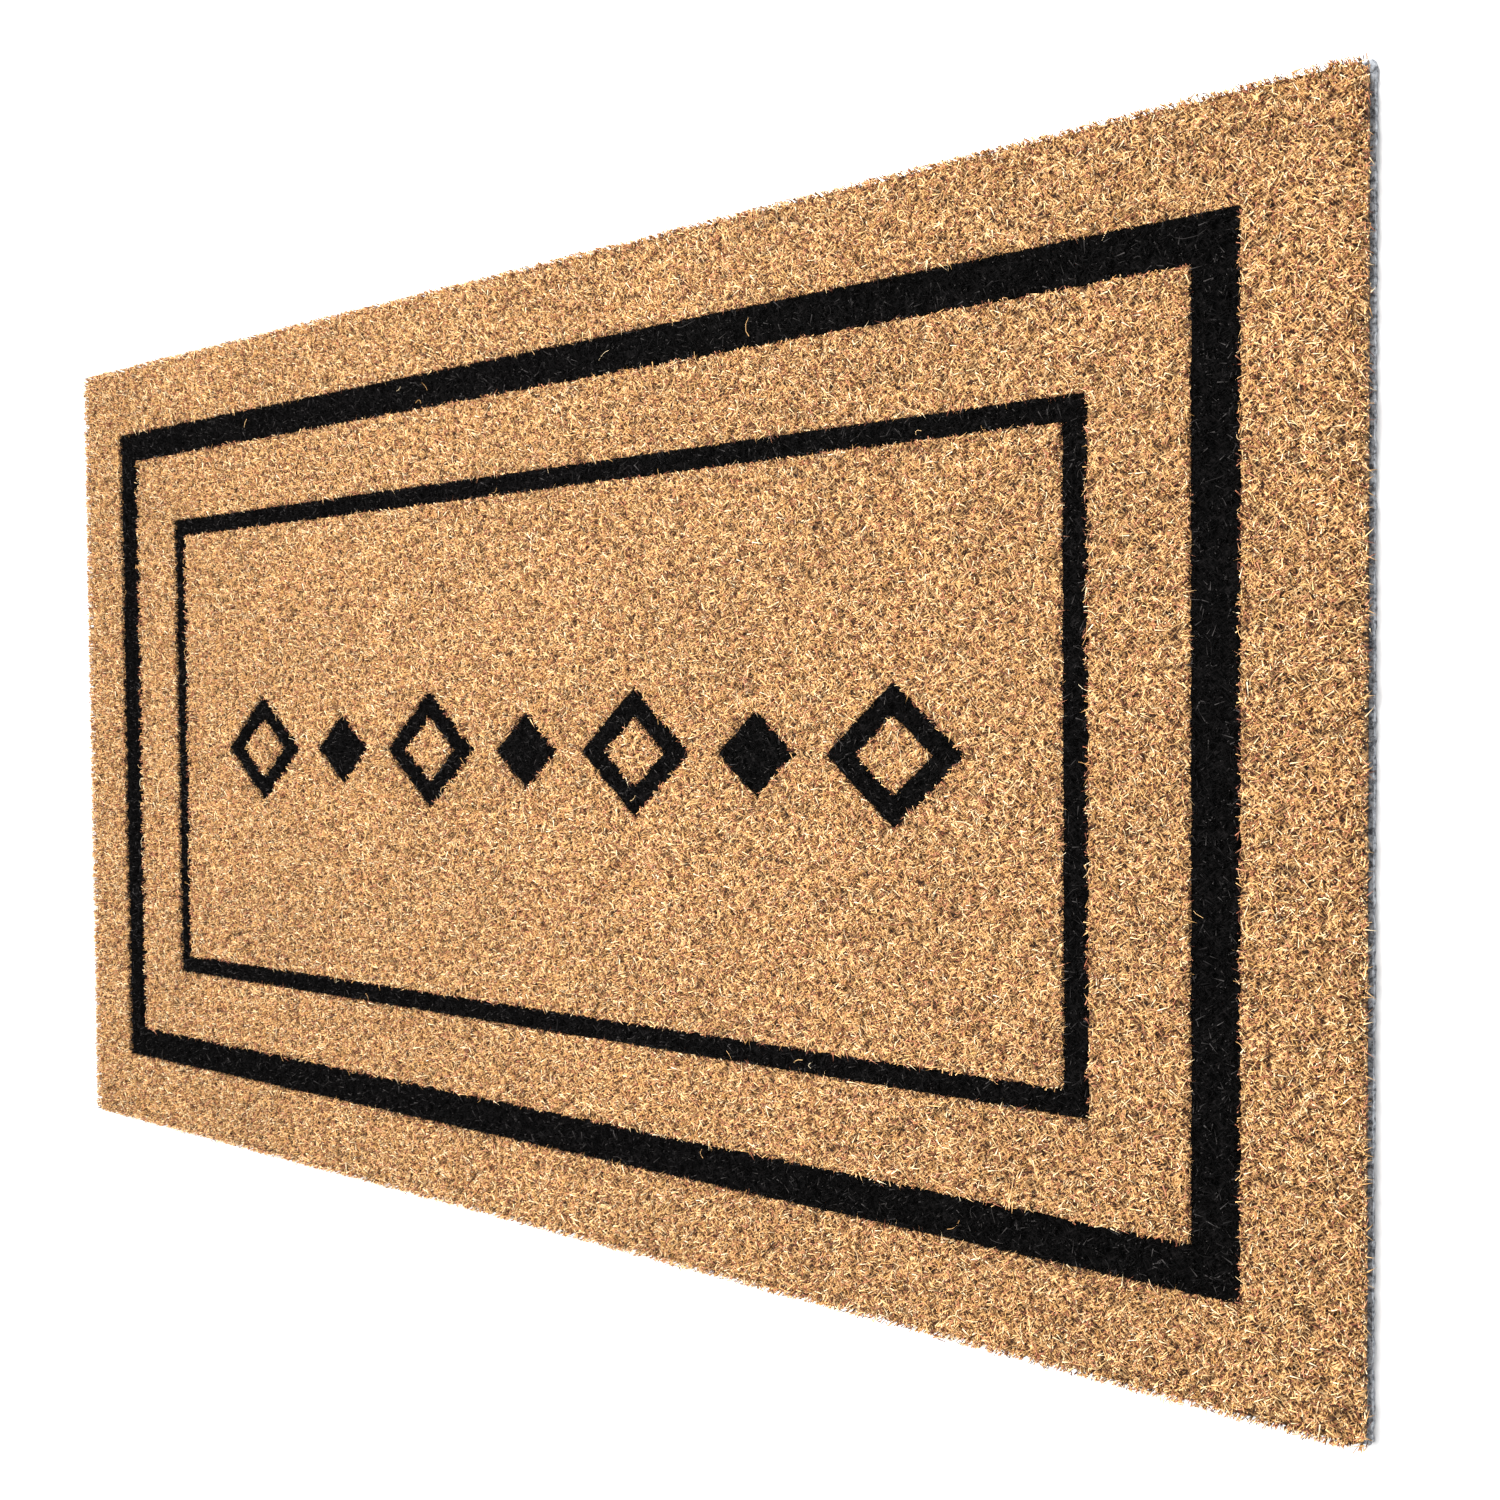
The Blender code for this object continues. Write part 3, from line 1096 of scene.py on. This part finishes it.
piles = []
for number, name in enumerate(FIELDS):
    material = black_coir if is_black[number] else natural_coir
    for suffix, part in SPLITS.get(name, EVERYWHERE):
        mine = part & (field == number)
        piece = fibre_piece(
            f"{name}_pile{suffix}", corners[mine], faces[mine], clump[mine], shade[mine], material
        )
        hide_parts(name)
        piles.append(piece)
print(f"{len(piles)} pieces of pile, {sum(len(p.data.polygons) for p in piles)} faces in all,")
print(f"{max(len(p.data.polygons) for p in piles)} in the largest")

# %% [markdown]
# ## Stray fibres
#
# A few long fibres always come out of the yarn and lie curled across the pile, over the black fields
# too. Each is a thin curve: a path whose points wander, given a small bevel and made a mesh. A dozen
# are made, and the same scattering lays them nearly flat among the tops of the tufts.

# %% Stray fibres
STRAY_KINDS = 12
STRAY_SPACING = 7.0 * MM
STRAY_RADIUS = 0.075 * MM
STRAY_DEPTH = 0.9 * MM
UNDYED_STRAYS = 0.03


def stray(name, collection, length, curl):
    """A thin curved fibre that lies about the origin, a little arched."""
    bpy.ops.curve.primitive_nurbs_path_add()
    strand = bpy.context.object
    points = strand.data.splines[0].points
    step = length / (len(points) - 1)
    place, heading = Vector((-length / 2, 0, 0)), 0.0
    turn = chooser.choice((-1, 1)) * curl
    for number, point in enumerate(points):
        along = number / (len(points) - 1)
        rise = math.sin(along * math.pi) * chooser.uniform(0.1, 0.9) * MM
        point.co = (place.x, place.y, rise, 1.0)
        heading += turn + chooser.gauss(0, 0.4)
        place = place + Vector((math.cos(heading), math.sin(heading), 0)) * step
    strand.data.resolution_u = 1
    strand.data.bevel_depth = STRAY_RADIUS
    strand.data.bevel_resolution = 0
    strand.data.use_fill_caps = True
    bpy.ops.object.convert(target="MESH")
    bpy.ops.object.mode_set(mode="EDIT")
    bpy.ops.mesh.select_all(action="SELECT")
    bpy.ops.mesh.remove_doubles(threshold=MM / 1000)
    bpy.ops.mesh.quads_convert_to_tris(quad_method="FIXED", ngon_method="CLIP")
    bpy.ops.object.mode_set(mode="OBJECT")
    return joined([bpy.context.object], name, collection)


strays = new_shapes("stray shapes")
for number in range(STRAY_KINDS):
    stray(f"stray_{number:02d}", strays, chooser.uniform(4, 9) * MM, chooser.uniform(0.1, 0.7))
stray_corners = len(strays.objects[0].data.vertices)

bpy.ops.mesh.primitive_grid_add(x_subdivisions=40, y_subdivisions=24, size=1)
stray_ground = bpy.context.object
bpy.ops.transform.resize(value=ground_size)
bpy.ops.transform.translate(value=(0, 0, PILE_TOP - STRAY_DEPTH))
bpy.ops.object.transform_apply(location=True, scale=True)
shape_shoulder(stray_ground, 0.2)
apply_tree(
    stray_ground,
    scatter_nodes("scatter the strays", strays, STRAY_SPACING, 5, 0.0, 0.22, (0.7, 1.2)),
)
corners, clump, faces = read_fibres(stray_ground, stray_corners)
shade = 0.45 + 0.55 * chance.random(len(corners))
bpy.data.objects.remove(stray_ground)
middles = corners.mean(axis=1)
dyed = is_black[fields_at(middles[:, 0], middles[:, 1], DYE_BLEED)]
dyed &= chance.random(len(dyed)) > UNDYED_STRAYS
stray_pieces = []
for name, mine, material in (
    ("stray_coir_fibres", ~dyed, natural_coir),
    ("stray_black_fibres", dyed, black_coir),
):
    piece = fibre_piece(name, corners[mine], faces[mine], clump[mine], shade[mine], material)
    stray_pieces.append(piece)
    print(f"{name}: {len(corners[mine])} strays, {len(piece.data.polygons)} faces")

# %% [markdown]
# ## Put together
#
# The shapes that were only there to be scattered are removed, and the solids that the new pieces stand for
# are hidden. Every piece rides on the mat's one body. Only the stray fibres stand for none.

# %% Finish
for collection in (tufts, edge_tufts, strays):
    for shape in list(collection.objects):
        bpy.data.objects.remove(shape)
    bpy.data.collections.remove(collection)

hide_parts("backing_sheet")
for number, piece in enumerate(roots):
    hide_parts(FIELDS[number])
pieces = [backing, *stray_pieces, *piles, *roots]
for piece in pieces:
    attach(piece, "root")
triangles = sum(len(p.data.loops) - 2 * len(p.data.polygons) for p in pieces)
print(f"{len(pieces)} pieces, {triangles} triangles in all")
